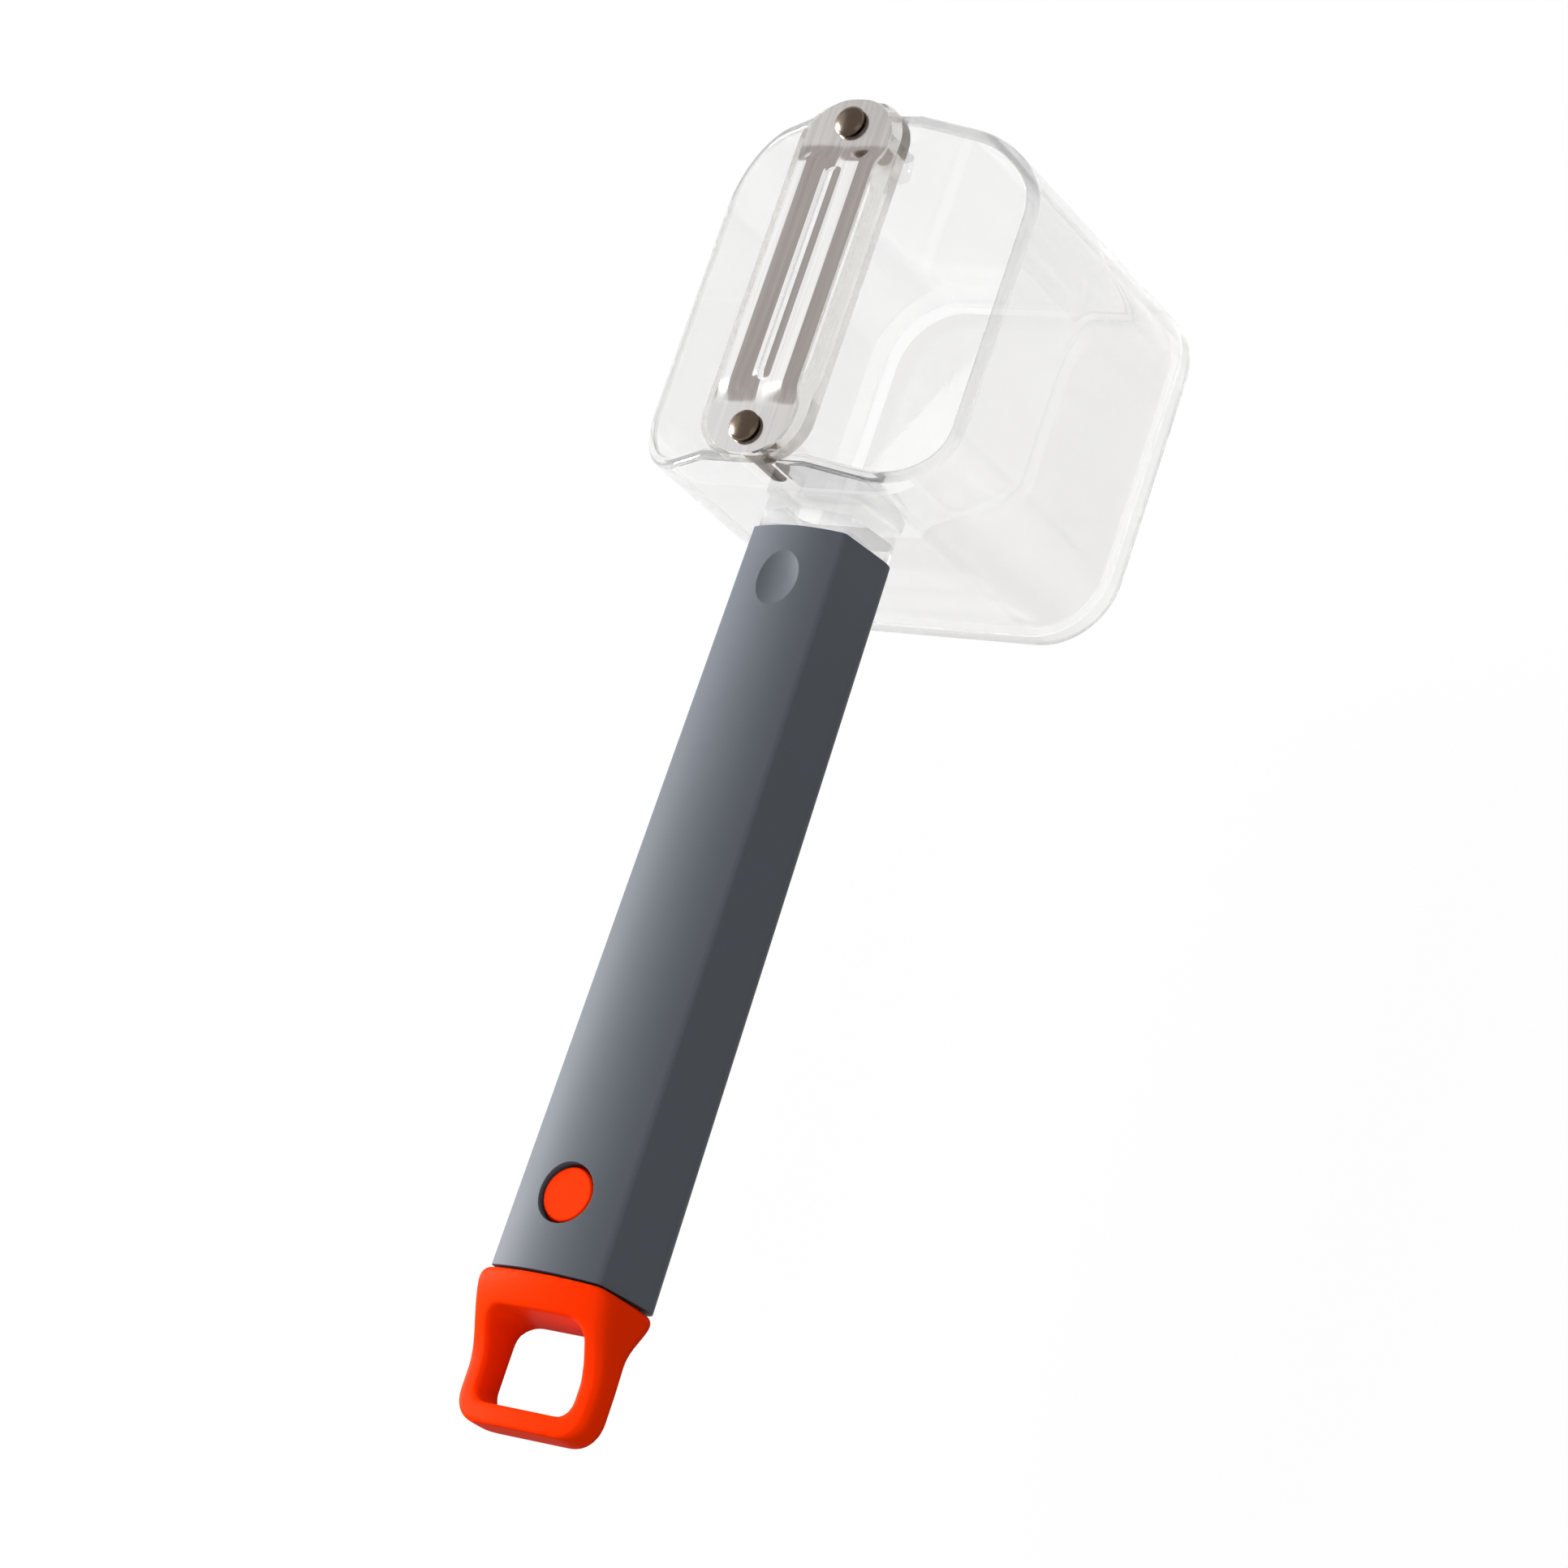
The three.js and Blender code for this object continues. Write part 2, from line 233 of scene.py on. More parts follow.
def skinGroup():
    # fine grain of a moulded skin under a slow cloud
    group, taken, given = newGroup("mouldedSkin", {
        "Color": (0.5, 0.5, 0.5, 1), "Mottle": 0.05, "Grain": 3000, "Cloud": 90, "Roughness": 0.5,
        "Spread": 0.08,
    })
    noises = {}
    for label in ("Grain", "Cloud"):
        noise = group.nodes.new("ShaderNodeTexNoise")
        group.links.new(objectSpot(group), noise.inputs["Vector"])
        group.links.new(taken[label], noise.inputs["Scale"])
        noise.inputs["Detail"].default_value = 3
        noises[label] = noise.outputs["Fac"]
    unevenFinish(group, taken, given, noises["Cloud"], noises["Grain"])
    return group


def brushGroup():
    # fine lines along one direction, as grinding leaves them
    group, taken, given = newGroup("groundLines", {
        "Color": (0.8, 0.8, 0.8, 1), "Across": 4000, "Along": 60, "Roughness": 0.2, "Spread": 0.1,
        "Mottle": 0.1,
    })
    size = group.nodes.new("ShaderNodeCombineXYZ")
    for axis, label in (("X", "Across"), ("Y", "Along"), ("Z", "Across")):
        group.links.new(taken[label], size.inputs[axis])
    stretched = group.nodes.new("ShaderNodeVectorMath")
    stretched.operation = "MULTIPLY"
    group.links.new(objectSpot(group), stretched.inputs[0])
    group.links.new(size.outputs["Vector"], stretched.inputs[1])
    lines = group.nodes.new("ShaderNodeTexNoise")
    setInputs(lines, {"Scale": 1, "Detail": 4})
    group.links.new(stretched.outputs["Vector"], lines.inputs["Vector"])
    unevenFinish(group, taken, given, lines.outputs["Fac"], lines.outputs["Fac"])
    return group


mouldedSkin = skinGroup()
groundLines = brushGroup()


# Materials
def dressed(name, group, values, bumpDepth):
    material = bpy.data.materials.new(name)
    material.use_nodes = True
    nodes, links = material.node_tree.nodes, material.node_tree.links
    shader = nodes["Principled BSDF"]
    effect = nodes.new("ShaderNodeGroup")
    effect.node_tree = group
    setInputs(effect, values)
    links.new(effect.outputs["Color"], shader.inputs["Base Color"])
    links.new(effect.outputs["Roughness"], shader.inputs["Roughness"])
    bump = nodes.new("ShaderNodeBump")
    bump.inputs["Distance"].default_value = bumpDepth
    links.new(effect.outputs["Height"], bump.inputs["Height"])
    links.new(bump.outputs["Normal"], shader.inputs["Normal"])
    return material, shader


# How much light goes straight through the clear plastic, by its lean to the viewer and by place
clearShape = {
    "ior": 1.49, "bump": 0.001 * mm, "faceOn": 0.3, "edgeOn": 0.68, "bareEdgeOn": 0.12,
    "wallInside": 29.2 * mm, "rimZ": 55.5 * mm, "bossReach": 4.2 * mm, "bossZ": 50 * mm, "bossBare": 0.95,
}


def leanShare(tree, bareFaceOn):
    # thin walls bend light only where they are seen edge-on
    lean = tree.nodes.new("ShaderNodeLayerWeight")
    lean.inputs["Blend"].default_value = 0.5
    bare = tree.nodes.new("ShaderNodeMapRange")
    setInputs(bare, {
        "From Min": clearShape["faceOn"], "From Max": clearShape["edgeOn"],
        "To Min": bareFaceOn, "To Max": clearShape["bareEdgeOn"],
    })
    tree.links.new(lean.outputs["Facing"], bare.inputs["Value"])
    return bare.outputs["Result"]


def clearMaterial(name, color, roughness, bareFaceOn, rimBare):
    shape = clearShape
    material, shader = dressed(
        name, mouldedSkin,
        {"Color": color, "Mottle": 0.02, "Grain": 700, "Cloud": 60, "Roughness": roughness, "Spread": 0.02},
        shape["bump"])
    setInputs(shader, {"Transmission Weight": 1, "IOR": shape["ior"]})
    tree = material.node_tree
    calc = mathIn(tree)
    spot = tree.nodes.new("ShaderNodeSeparateXYZ")
    tree.links.new(objectSpot(tree), spot.inputs["Vector"])
    x, y, z = spot.outputs

    # the rim towards the handle bends more light, so that the dark handle shows in it
    pastWall = calc("LESS_THAN", y, -shape["wallInside"])
    atRim = calc("MULTIPLY", pastWall, calc("GREATER_THAN", z, shape["rimZ"]))
    kept = calc("SUBTRACT", 1.0, calc("MULTIPLY", atRim, 1 - rimBare))
    walls = calc("MULTIPLY", leanShare(tree, bareFaceOn), kept)

    # the bosses under the pins hardly show
    fromMiddle = calc("ABSOLUTE", y)
    fromPin = calc("POWER", calc("SUBTRACT", fromMiddle, pinY), 2.0)
    away = calc("ADD", fromPin, calc("POWER", x, 2.0))
    nearPin = calc("LESS_THAN", away, shape["bossReach"] ** 2)
    inside = calc("LESS_THAN", fromMiddle, shape["wallInside"])
    atBoss = calc("MULTIPLY", calc("MULTIPLY", nearPin, inside), calc("GREATER_THAN", z, shape["bossZ"]))
    bosses = calc("MULTIPLY", atBoss, shape["bossBare"])

    path = tree.nodes.new("ShaderNodeLightPath")        # lamps shine through the clear walls
    share = calc("MAXIMUM", calc("MAXIMUM", path.outputs["Is Shadow Ray"], walls), bosses)
    airy = tree.nodes.new("ShaderNodeBsdfTransparent")
    airy.inputs["Color"].default_value = color
    surface = mixShaders(tree, share, shader.outputs["BSDF"], airy.outputs["BSDF"])
    tree.links.new(surface, tree.nodes["Material Output"].inputs["Surface"])
    return material


clearPlastic = clearMaterial(
    "clearPlastic", (0.982, 0.98, 0.979, 1), roughness=0.02, bareFaceOn=0.75, rimBare=0.15)
bridgePlastic = clearMaterial(
    "bridgePlastic", (0.965, 0.955, 0.935, 1), roughness=0.04, bareFaceOn=0.45, rimBare=1)

handlePlastic, handleShader = dressed(
    "handlePlastic", mouldedSkin,
    {"Color": (0.083, 0.092, 0.107, 1), "Mottle": 0.08, "Grain": 2600, "Cloud": 70, "Roughness": 0.5,
     "Spread": 0.1},
    0.006 * mm)
handleShader.inputs["Specular IOR Level"].default_value = 0.06

orangePlastic, orangeShader = dressed(
    "orangePlastic", mouldedSkin,
    {"Color": (0.8, 0.027, 0.0, 1), "Mottle": 0.06, "Grain": 2200, "Cloud": 120, "Roughness": 0.5,
     "Spread": 0.08},
    0.006 * mm)
setInputs(orangeShader, {
    "Specular IOR Level": 0.01, "Subsurface Weight": 0.06, "Subsurface Radius": (2.5, 0.3, 0.1),
    "Subsurface Scale": mm,
})

bladeSteel, steelShader = dressed(
    "bladeSteel", groundLines,
    {"Color": (0.82, 0.81, 0.8, 1), "Across": 1100, "Along": 30, "Roughness": 0.16, "Spread": 0.12,
     "Mottle": 0.35},
    0.004 * mm)
steelShader.inputs["Metallic"].default_value = 1

pinMetal, pinShader = dressed(
    "rivetMetal", groundLines,
    {"Color": (0.19, 0.148, 0.115, 1), "Across": 1500, "Along": 1500, "Roughness": 0.26, "Spread": 0.1,
     "Mottle": 0.15},
    0.006 * mm)
pinShader.inputs["Metallic"].default_value = 1
print("materials ready")


# Handle section, used by the shell, by the stem of the bin and by the tail
handleShape = {
    "face": 47.7 * mm, "crown": 1.9 * mm, "headFace": 18.3 * mm, "tailFace": 21.2 * mm,
    "headDepth": 14 * mm, "tailDepth": 15.4 * mm, "flare": 2.5 * mm, "wall": 2 * mm, "slide": 0.4 * mm,
    "backRound": 4.6 * mm, "leastRound": 0.7 * mm, "edgeRound": 0.6 * mm,
    "backSteps": 8, "edgeSteps": 4, "crownSteps": 28,
}


def handleSection(bm, inset, y, shape):
    front = shape["tailFace"] / 2 - inset
    back = shape["tailFace"] / 2 + shape["flare"] - inset
    top = shape["face"] - inset
    bottom = shape["face"] - shape["tailDepth"] + inset
    outline = ((front, y, top), (-front, y, top), (-back, y, bottom), (back, y, bottom))
    corners = [bm.verts.new(point) for point in outline]
    bm.faces.new(corners)
    face = next(edge for edge in bm.edges if set(edge.verts) == set(corners[:2]))
    steps = bmesh.ops.subdivide_edges(bm, edges=[face], cuts=shape["crownSteps"])
    for vert in steps["geom_inner"]:
        if isinstance(vert, bmesh.types.BMVert):
            vert.co.z = top + shape["crown"] * (1 - (vert.co.x / front) ** 2)
    behind = [v for v in bm.verts if abs(v.co.z - bottom) < tiny]
    roundCorners(bm, behind, max(shape["backRound"] - inset, shape["leastRound"]), shape["backSteps"])
    ends = [v for v in bm.verts if abs(v.co.z - top) < tiny]
    roundCorners(bm, ends, shape["edgeRound"], shape["edgeSteps"])


def handleRun(inset, fromY, toY, cuts=(), shape=handleShape):
    bm = bmesh.new()
    handleSection(bm, inset, fromY, shape)
    extrudeAll(bm, (0, toY - fromY, 0))
    for y in cuts:
        bmesh.ops.bisect_plane(bm, geom=bm.verts[:] + bm.edges[:] + bm.faces[:], plane_co=(0, y, 0),
                               plane_no=(0, 1, 0))
    for vert in bm.verts:        # narrower and thinner towards the head
        share = (vert.co.y - handleTail) / (handleHead - handleTail)
        vert.co.x *= 1 + share * (shape["headFace"] / shape["tailFace"] - 1)
        drop = vert.co.z - shape["face"]
        vert.co.z = shape["face"] + drop * (1 + share * (shape["headDepth"] / shape["tailDepth"] - 1))
    return bm


def innerRun(fromY, toY):
    return handleRun(handleShape["wall"] + handleShape["slide"], fromY, toY)


# Bin
binShape = {
    "wall": 2 * mm, "corner": 12.5 * mm, "cornerSteps": 20, "floorRound": 1.6 * mm, "innerRound": 2 * mm,
    "footSteps": 6, "rimSide": 55.4 * mm, "crest": 20 * mm, "rimRound": 0.7 * mm, "rimSteps": 4,
    "rimAngle": 55, "cutReach": 200 * mm, "bossRadius": 3.9 * mm, "bossDepth": 15 * mm, "bossFoot": 5 * mm,
    "bossDrop": 0.05 * mm, "bossSteps": 64, "holeDepth": 12.7 * mm, "pinHole": 1.8 * mm,
    "collarInset": 0.5 * mm, "gap": 0.3 * mm, "soften": 0.25 * mm, "softenSteps": 2, "softenAngle": 40,
}


def roundBlock(width, length, corner, bottom, height, footRound):
    bm = bmesh.new()
    bmesh.ops.create_cube(bm, size=1)
    bmesh.ops.scale(bm, vec=(width, length, height), verts=bm.verts[:])
    bmesh.ops.translate(bm, vec=(0, 0, bottom + height / 2), verts=bm.verts[:])
    roundEdges(bm, [e for e in bm.edges if isUpright(e)], corner, binShape["cornerSteps"])
    foot = [e for e in bm.edges if max(v.co.z for v in e.verts) < bottom + tiny]
    roundEdges(bm, foot, footRound, binShape["footSteps"])
    return bm


def gableCut(side, crest, top, fall):
    bm = bmesh.new()
    reach = binShape["cutReach"]
    turn = Matrix.Rotation(side * math.atan(fall), 4, "Y")
    lift = Matrix.Translation((0, 0, reach / 2))
    shift = Matrix.Translation((side * crest / 2, 0, top))
    bmesh.ops.create_cube(bm, size=reach, matrix=shift @ turn @ lift)
    return bm


def bossBlank(middle, top):
    shape = binShape
    foot = top - shape["bossDepth"] + shape["bossFoot"]
    bm = post(shape["bossRadius"], middle, foot, top - shape["bossDrop"] - foot, shape["bossSteps"])
    lower = [f for f in bm.faces if f.normal.z < -0.9]
    point = bmesh.ops.poke(bm, faces=lower)
    bmesh.ops.translate(bm, vec=(0, 0, -shape["bossFoot"]), verts=point["verts"])
    return bm


def makeBin():
    shape = binShape
    low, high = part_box("bin")
    width, length, wall = high.x - low.x, 2 * high.y, shape["wall"]
    outer = roundBlock(width, length, shape["corner"], 0, high.z, shape["floorRound"])
    inner = roundBlock(width - 2 * wall, length - 2 * wall, shape["corner"] - wall, wall, 2 * high.z,
                       shape["innerRound"])
    fall = (high.z - shape["rimSide"]) / (width / 2 - shape["crest"] / 2)
    gables = [("DIFFERENCE", gableCut(side, shape["crest"], high.z, fall)) for side in (-1, 1)]
    bm = carve(outer, ("DIFFERENCE", inner), *gables)
    sharp = math.radians(shape["rimAngle"])
    rim = [e for e in bm.edges if e.is_manifold and e.calc_face_angle(0) > sharp]
    roundEdges(bm, rim, shape["rimRound"], shape["rimSteps"])
    bosses = [("UNION", bossBlank(side * pinY, high.z)) for side in (-1, 1)]
    holes = pinHoles(shape["pinHole"], high.z - shape["holeDepth"], 2 * shape["holeDepth"])
    collarEnd = handleHead + shape["gap"]
    collar = handleRun(shape["collarInset"], collarEnd, (wall - length) / 2)
    stem = innerRun(low.y, collarEnd + mm)
    obj = makeObject("binClear", carve(bm, *bosses, *holes, ("UNION", collar), ("UNION", stem)))
    softEdges(obj, shape)
    place(obj, clearPlastic, "handle", "bin")


# Bridge under the blade
bridgeShape = {
    "corner": 7.4 * mm, "rail": 2.8 * mm, "margin": 5.5 * mm, "pinHole": 1.8 * mm,
    "soften": 0.5 * mm, "softenSteps": 3, "softenAngle": 40,
}


def makeBridge():
    shape = bridgeShape
    low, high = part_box("blade_bridge")
    width, length, thick = high.x - low.x, high.y - low.y, high.z - low.z
    under, tall = low.z - thick, 3 * thick
    opening = roundEnded(width - 2 * shape["rail"], 2 * (pinY - shape["margin"]), under, tall)
    holes = pinHoles(shape["pinHole"], under, tall)
    bm = carve(plate(width, length, shape["corner"], 0, low.z, thick), ("DIFFERENCE", opening), *holes)
    obj = makeObject("bridgeClear", bm)
    softEdges(obj, shape)
    place(obj, bridgePlastic, "handle", "blade_bridge")


# Blade
bladeShape = {
    "thick": 0.6 * mm, "waist": 15 * mm, "ridge": 5.2 * mm, "rise": 1.5 * mm, "ridgeSoft": 0.12 * mm,
    "wing": 0.75 * mm, "lip": 1.65 * mm, "lipFoot": 0.8 * mm, "lipSlope": 0.45, "lipFade": 1.2 * mm,
    "formMargin": 4 * mm, "formLength": 4 * mm, "slot": 1.3 * mm, "slotMargin": 8.2 * mm,
    "tabRound": 7.4 * mm, "tabFlat": 1 * mm, "shoulder": 1.5 * mm, "shoulderSteps": 6, "pinHole": 1.8 * mm,
    "stepsX": 96, "stepsY": 220, "spare": 1.02, "punchUnder": 2 * mm, "punchTall": 8 * mm,
    "soften": 0.12 * mm, "softenSteps": 2, "softenAngle": 50,
}


def formHeight(x, y):
    shape = bladeShape
    half, ridge, rise = shape["waist"] / 2, shape["ridge"], shape["rise"]
    fromLip = abs(x) - shape["lip"]
    inner = shape["lipFoot"] + (rise - shape["lipFoot"]) * fromLip / (ridge - shape["lip"])
    if fromLip < 0:        # the cutting lips rise beside the slot and fade out at its ends
        fade = easedShare((pinY - shape["slotMargin"] - abs(y)) / shape["lipFade"])
        inner += (shape["lipFoot"] - shape["lipSlope"] * fromLip - inner) * fade
    outer = shape["wing"] + (rise - shape["wing"]) * max(half - abs(x), 0) / (half - ridge)
    across = (inner + outer - math.hypot(inner - outer, shape["ridgeSoft"])) / 2
    along = (pinY - shape["formMargin"] - abs(y)) / shape["formLength"]
    return across * easedShare(along)


def bladePunch(width, length, under, tall):
    shape = bladeShape
    tabLength = 2 * shape["tabRound"] + shape["tabFlat"]
    tabs = []
    for side in (-1, 1):
        middle = side * (length - tabLength) / 2
        tabs.append(("UNION", plate(width, tabLength, shape["tabRound"], middle, under, tall)))
    bm = carve(plate(shape["waist"], 2 * pinY, 0, 0, under, tall), *tabs)
    shoulders = [e for e in bm.edges if isUpright(e) and e.is_manifold and not e.is_convex]
    roundEdges(bm, shoulders, shape["shoulder"], shape["shoulderSteps"])
    return bm


def makeBlade():
    shape = bladeShape
    low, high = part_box("blade")
    width, length = high.x - low.x, high.y - low.y
    bm = bmesh.new()
    bmesh.ops.create_grid(bm, x_segments=shape["stepsX"], y_segments=shape["stepsY"], size=0.5)
    reach = max(v.co.x for v in bm.verts)
    size = (width / 2 / reach * shape["spare"], length / 2 / reach * shape["spare"], 1)
    bmesh.ops.scale(bm, vec=size, verts=bm.verts[:])
    for vert in bm.verts:
        vert.co.z = low.z + formHeight(vert.co.x, vert.co.y)
    extrudeAll(bm, (0, 0, shape["thick"]))
    under, tall = low.z - shape["punchUnder"], shape["punchTall"]
    slot = roundEnded(shape["slot"], 2 * (pinY - shape["slotMargin"]), under, tall)
    holes = pinHoles(shape["pinHole"], under, tall)
    bm = carve(bm, ("INTERSECT", bladePunch(width, length, under, tall)), ("DIFFERENCE", slot), *holes)
    obj = makeObject("bladeSteelStrip", bm)
    softEdges(obj, shape)
    place(obj, bladeSteel, "handle", "blade")


# Pins
pinShape = {
    "radius": 1.5 * mm, "tip": 0.5 * mm, "headRadius": 2.7 * mm, "headHeight": 1.7 * mm,
    "headEdge": 0.15 * mm, "headSide": 0.3 * mm, "domeSteps": 10, "turns": 48,
    "soften": 0.1 * mm, "softenSteps": 2, "softenAngle": 40,
}


def makePin(node):
    shape = pinShape
    low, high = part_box(node)
    middle = (low.y + high.y) / 2
    radius, headRadius = shape["radius"], shape["headRadius"]
    seat = high.z - shape["headHeight"]
    brim = seat + shape["headSide"]
    profile = [(0, low.z), (radius - shape["tip"], low.z), (radius, low.z + shape["tip"]), (radius, seat)]
    profile += [(headRadius - shape["headEdge"], seat), (headRadius, brim)]
    for i in range(1, shape["domeSteps"] + 1):
        angle = math.pi / 2 * i / shape["domeSteps"]
        profile.append((headRadius * math.cos(angle), brim + (high.z - brim) * math.sin(angle)))
    bm = bmesh.new()
    verts = [bm.verts.new((x, middle, z)) for x, z in profile]
    edges = [bm.edges.new(pair) for pair in zip(verts, verts[1:])]
    bmesh.ops.spin(bm, geom=verts + edges, cent=(0, middle, 0), axis=(0, 0, 1), angle=2 * math.pi,
                   steps=shape["turns"], use_merge=True)
    bmesh.ops.remove_doubles(bm, verts=bm.verts[:], dist=tiny)
    bmesh.ops.recalc_face_normals(bm, faces=bm.faces[:])
    obj = makeObject("pin" + node.split("_")[-1].capitalize(), bm)
    softEdges(obj, shape)
    place(obj, pinMetal, "handle", node)


# Handle shell
shellShape = {
    "dimpleRadius": 5.2 * mm, "dimpleDepth": 1 * mm, "dimpleOffset": 9.2 * mm, "dimpleSteps": (128, 96),
    "buttonOffset": 12.7 * mm, "holeRadius": 5 * mm, "holeSteps": 96, "cutSpread": 8 * mm,
    "sliver": 0.06 * mm, "soften": 0.35 * mm, "softenSteps": 3, "softenAngle": 14,
}
buttonY = handleTail + shellShape["buttonOffset"]
dimpleY = handleHead - shellShape["dimpleOffset"]


def dimpleDish():
    radius, depth = shellShape["dimpleRadius"], shellShape["dimpleDepth"]
    dishRadius = (radius ** 2 + depth ** 2) / (2 * depth)
    around, down = shellShape["dimpleSteps"]
    bm = bmesh.new()
    spot = Matrix.Translation((0, dimpleY, handleTop + dishRadius - depth))
    bmesh.ops.create_uvsphere(bm, u_segments=around, v_segments=down, radius=dishRadius, matrix=spot)
    return bm


def makeHandle():
    shape, wall = shellShape, handleShape["wall"]
    cuts = [spot + side * shape["cutSpread"] for spot in (buttonY, dimpleY) for side in (-1, 1)]
    outer = handleRun(0, handleTail, handleHead, cuts)
    bore = handleRun(wall, handleTail - mm, handleHead + mm)
    hole = post(shape["holeRadius"], buttonY, handleTop - 2 * wall, 3 * wall, shape["holeSteps"])
    bm = carve(outer, ("DIFFERENCE", bore), ("DIFFERENCE", hole), ("DIFFERENCE", dimpleDish()))
    bmesh.ops.dissolve_degenerate(bm, dist=shape["sliver"], edges=bm.edges[:])
    obj = makeObject("handleGrey", bm)
    softEdges(obj, shape)
    place(obj, handlePlastic, "handle", "handle_shell")


# Tail loop
tailShape = {
    "gap": 0.3 * mm, "half": 12.8 * mm, "neck": 15 * mm, "neckSteps": 20, "backNeck": 9.5 * mm,
    "tipDepth": 6.6 * mm, "corner": 4.5 * mm, "cornerSteps": 8, "rootCorner": 2 * mm, "rootSteps": 5,
    "backRound": 3.4 * mm, "edgeRound": 3 * mm, "bar": 3.4 * mm, "side": 3.6 * mm,
    "windowCorner": 2.6 * mm, "windowLength": 14.4 * mm, "windowReach": 80 * mm,
    "channelWidth": 10.4 * mm, "channelDepth": 7.6 * mm, "voxel": 0.35 * mm, "smooth": 20, "smoothShare": 0.5,
}


def cornerInset(distance, radius):
    into = min(max(radius - distance, 0), radius)
    return radius - math.sqrt(radius ** 2 - into ** 2)


def quarterSteps(radius, count):
    return [radius * (1 - math.cos(math.pi / 2 * i / count)) for i in range(1, count + 1)]


def tailBody(start, end):
    # upright sides, as deep as the handle at the root and thin over the window
    shape, half = tailShape, tailShape["half"]
    section = dict(handleShape, tailFace=2 * half, headFace=2 * half, flare=0,
                   backRound=shape["backRound"], edgeRound=shape["edgeRound"])
    back = handleShape["face"] - handleShape["tailDepth"]
    middle = handleShape["face"] - handleShape["tailDepth"] / 2
    tipTop, tipBottom = middle + shape["tipDepth"] / 2, middle - shape["tipDepth"] / 2
    cuts = [end + step for step in quarterSteps(shape["corner"], shape["cornerSteps"])]
    cuts += [start - shape["neck"] * i / shape["neckSteps"] for i in range(1, shape["neckSteps"] + 1)]
    cuts += [start - step for step in quarterSteps(shape["rootCorner"], shape["rootSteps"])]
    bm = handleRun(0, end, start, cuts, section)
    for vert in bm.verts:
        along = start - vert.co.y
        top = handleTop + (tipTop - handleTop) * easedShare(along / shape["neck"])
        floor = back + (tipBottom - back) * easedShare(along / shape["backNeck"])
        vert.co.z = floor + (vert.co.z - back) / (handleTop - back) * (top - floor)
        inset = cornerInset(vert.co.y - end, shape["corner"]) + cornerInset(along, shape["rootCorner"])
        vert.co.x *= 1 - inset / half
    return bm


def makeTail():
    shape = tailShape
    low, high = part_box("tail_loop")
    start, end = handleTail - shape["gap"], low.y
    windowY = end + shape["bar"] + shape["windowLength"] / 2
    window = plate(2 * shape["half"] - 2 * shape["side"], shape["windowLength"], shape["windowCorner"],
                   windowY, 0, shape["windowReach"])
    plug = innerRun(start - mm, high.y)
    length = high.y - handleTail - mm
    channelBottom = handleTop - handleShape["wall"] - shape["channelDepth"]
    channel = plate(shape["channelWidth"], length, 0, high.y - length / 2 + mm, channelBottom,
                    2 * shape["channelDepth"])
    bm = carve(tailBody(start, end), ("DIFFERENCE", window), ("UNION", plug), ("DIFFERENCE", channel))
    rough = makeObject("tailRough", bm)
    remesh = rough.modifiers.new("remesh", "REMESH")        # melts loop and plug into one soft moulding
    remesh.mode = "VOXEL"
    remesh.voxel_size = shape["voxel"]
    smooth = rough.modifiers.new("smooth", "SMOOTH")
    smooth.factor = shape["smoothShare"]
    smooth.iterations = shape["smooth"]
    mesh = applied(rough)
    bpy.data.meshes.remove(rough.data)
    obj = bpy.data.objects.new("tailOrange", mesh)
    bpy.context.scene.collection.objects.link(obj)
    place(obj, orangePlastic, "tail", "tail_loop")


# Latch arm with its button
latchShape = {
    "armWidth": 9.4 * mm, "armThick": 1.6 * mm, "armDrop": 1.3 * mm, "armCorner": 0.4 * mm, "root": 3 * mm,
    "buttonRadius": 4.5 * mm, "dome": 0.5 * mm, "domeSteps": 5, "turns": 96,
    "soften": 0.25 * mm, "softenSteps": 2, "softenAngle": 40,
}


def makeLatch():
    shape = latchShape
    low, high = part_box("latch_arm")
    armTop = handleTop - handleShape["wall"] - shape["armDrop"]
    armBottom = armTop - shape["armThick"]
    arm = plate(shape["armWidth"], high.y - low.y, shape["armCorner"], (high.y + low.y) / 2, armBottom,
                shape["armThick"])
    root = plate(shape["armWidth"], shape["root"], 0, high.y - shape["root"] / 2, low.z, armTop - low.z)
    buttonFoot = armTop - shape["armThick"] / 2
    button = post(shape["buttonRadius"], buttonY, buttonFoot, high.z - buttonFoot, shape["turns"])
    cap = [f for f in button.faces if f.normal.z > 0.9]
    roundEdges(button, [e for f in cap for e in f.edges], shape["dome"], shape["domeSteps"])
    obj = makeObject("latchOrange", carve(arm, ("UNION", root), ("UNION", button)))
    softEdges(obj, shape)
    place(obj, orangePlastic, "latch", "latch_arm")


makeBin()
makeBridge()
makeBlade()
for pinNode in ("blade_rivet_upper", "blade_rivet_lower"):
    makePin(pinNode)
makeHandle()
makeTail()
makeLatch()


# Stage, light and camera
floorSetup = {
    "radius": 3.0, "turns": 96, "drop": 0.3 * mm, "paper": (0.95, 0.95, 0.95, 1),
    "bounce": (0.03, 0.03, 0.03, 1), "white": 0.97, "glow": 0.98,
}
skySetup = {
    "ambient": 1.0, "white": (1, 1, 1, 1), "towards": (-0.85, 0.15, 0.4), "dark": (0.42, 0.385, 0.37, 1),
    "start": 0.876, "full": 0.889, "through": (0.93, 0.925, 0.92, 1),
}
lampAim = Vector((0, -0.08, 0.04))
lampSetup = {
    "keyLamp": {"place": Vector((-1.045, -0.08, 0.37)), "size": 0.4, "power": 33},
    "fillLamp": {"place": Vector((0.9, -0.4, 0.5)), "size": 0.8, "power": 0.6},
}
cameraSetup = {
    "place": (0.470977, -0.303552, 0.645031), "right": (0.80792, 0.30702, -0.50299),
    "up": (-0.0891, 0.90739, 0.41074), "lens": 115.897, "sensor": 36, "clipStart": 0.01,
}


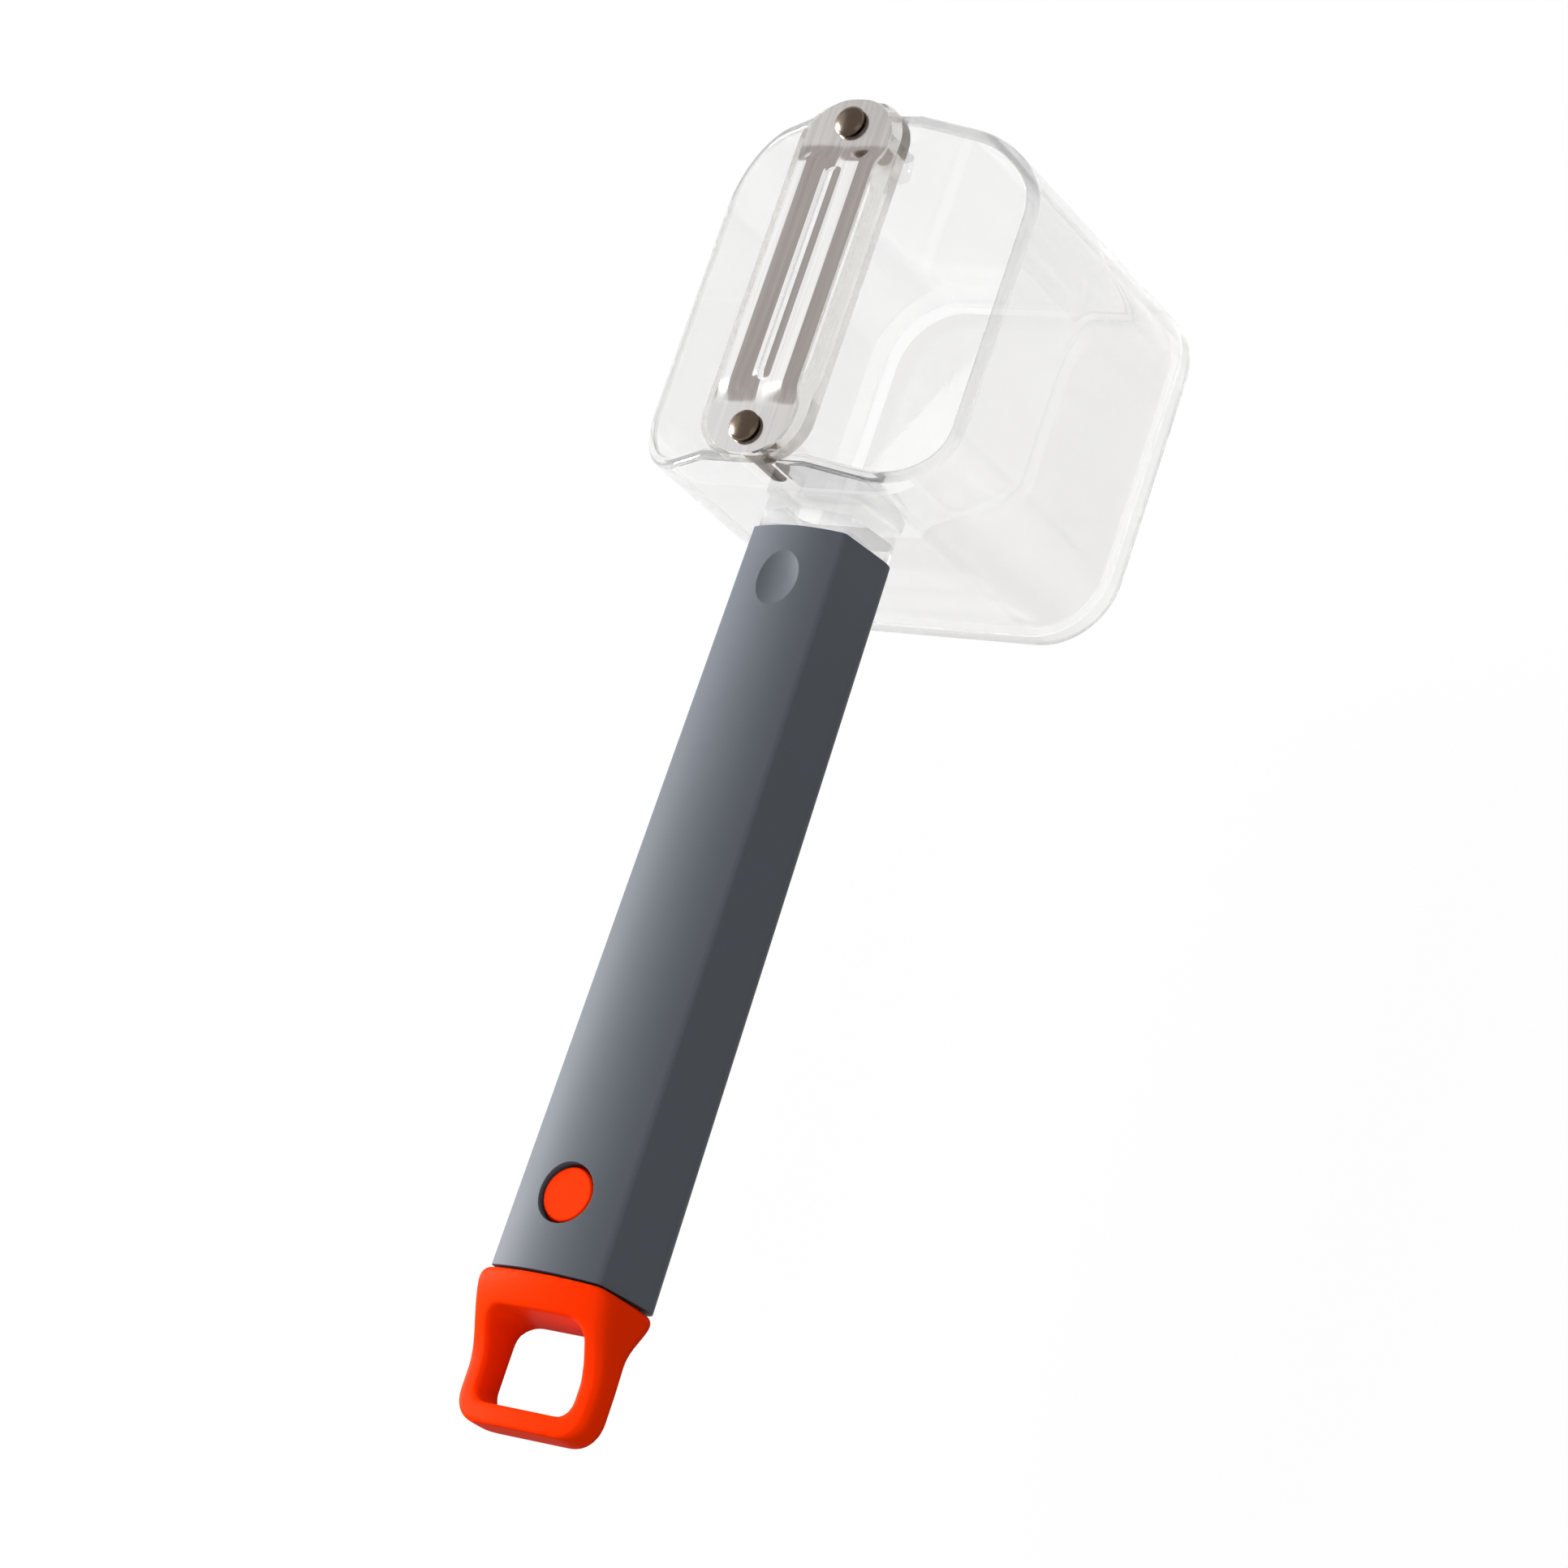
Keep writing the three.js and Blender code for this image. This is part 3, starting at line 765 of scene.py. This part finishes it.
def makeFloor():
    setup = floorSetup
    bm = bmesh.new()
    bmesh.ops.create_circle(bm, cap_ends=True, segments=setup["turns"], radius=setup["radius"])
    bmesh.ops.translate(bm, vec=(0, 0, -setup["drop"]), verts=bm.verts[:])
    floor = makeObject("studioFloor", bm)
    material = bpy.data.materials.new("studioFloor")
    material.use_nodes = True
    tree = material.node_tree
    calc = mathIn(tree)
    tree.nodes.remove(tree.nodes["Principled BSDF"])
    path = tree.nodes.new("ShaderNodeLightPath").outputs
    mirrored = calc("MAXIMUM", path["Is Camera Ray"], path["Is Glossy Ray"])
    seen = calc("MAXIMUM", mirrored, path["Is Transmission Ray"])
    paper = tree.nodes.new("ShaderNodeBsdfDiffuse")        # throws little light back up at the part
    tree.links.new(mixColors(tree, seen, setup["bounce"], setup["paper"]), paper.inputs["Color"])
    glow = tree.nodes.new("ShaderNodeEmission")            # but is seen as white, with the shadow kept
    glow.inputs["Strength"].default_value = setup["glow"]
    share = calc("MULTIPLY", seen, setup["white"])
    surface = mixShaders(tree, share, paper.outputs["BSDF"], glow.outputs["Emission"])
    tree.links.new(surface, tree.nodes["Material Output"].inputs["Surface"])
    floor.data.materials.append(material)


def makeSky():
    setup = skySetup
    world = bpy.data.worlds.new("studio")
    bpy.context.scene.world = world
    world.use_nodes = True
    tree = world.node_tree
    soft = tree.nodes["Background"]
    setInputs(soft, {"Strength": setup["ambient"], "Color": setup["white"]})

    # what the steel mirrors: a bright window to one side of a dim room
    facing = tree.nodes.new("ShaderNodeVectorMath")
    facing.operation = "DOT_PRODUCT"
    tree.links.new(tree.nodes.new("ShaderNodeTexCoord").outputs["Generated"], facing.inputs[0])
    facing.inputs[1].default_value = Vector(setup["towards"]).normalized()
    lobe = tree.nodes.new("ShaderNodeMapRange")
    lobe.interpolation_type = "SMOOTHSTEP"
    setInputs(lobe, {"From Min": setup["start"], "From Max": setup["full"]})
    tree.links.new(facing.outputs["Value"], lobe.inputs["Value"])
    room = tree.nodes.new("ShaderNodeBackground")
    tone = mixColors(tree, lobe.outputs["Result"], setup["dark"], setup["white"])
    tree.links.new(tone, room.inputs["Color"])

    through = tree.nodes.new("ShaderNodeBackground")
    through.inputs["Color"].default_value = setup["through"]
    white = tree.nodes.new("ShaderNodeBackground")
    white.inputs["Color"].default_value = setup["white"]
    path = tree.nodes.new("ShaderNodeLightPath").outputs
    surface = soft.outputs["Background"]
    for ray, sky in (("Is Glossy Ray", room), ("Is Transmission Ray", through), ("Is Camera Ray", white)):
        surface = mixShaders(tree, path[ray], surface, sky.outputs["Background"])
    tree.links.new(surface, tree.nodes["World Output"].inputs["Surface"])


def makeLamp(name, setup):
    lamp = bpy.data.lights.new(name, "AREA")
    lamp.shape = "DISK"
    lamp.size = setup["size"]
    lamp.energy = setup["power"]
    obj = bpy.data.objects.new(name, lamp)
    obj.location = setup["place"]
    obj.rotation_euler = (lampAim - setup["place"]).to_track_quat("-Z", "Y").to_euler()
    bpy.context.scene.collection.objects.link(obj)


def makeCamera():
    setup = cameraSetup
    data = bpy.data.cameras.new("photoCamera")
    data.lens = setup["lens"]
    data.sensor_width = setup["sensor"]
    data.clip_start = setup["clipStart"]
    obj = bpy.data.objects.new("photoCamera", data)
    right, up = Vector(setup["right"]), Vector(setup["up"])
    turn = Matrix((right, up, right.cross(up))).transposed().to_4x4()
    obj.matrix_world = Matrix.Translation(setup["place"]) @ turn
    bpy.context.scene.collection.objects.link(obj)
    bpy.context.scene.camera = obj


makeFloor()
makeSky()
for lampName, lamp in lampSetup.items():
    makeLamp(lampName, lamp)
makeCamera()
bpy.context.scene.view_settings.view_transform = "Standard"
print("stage ready")
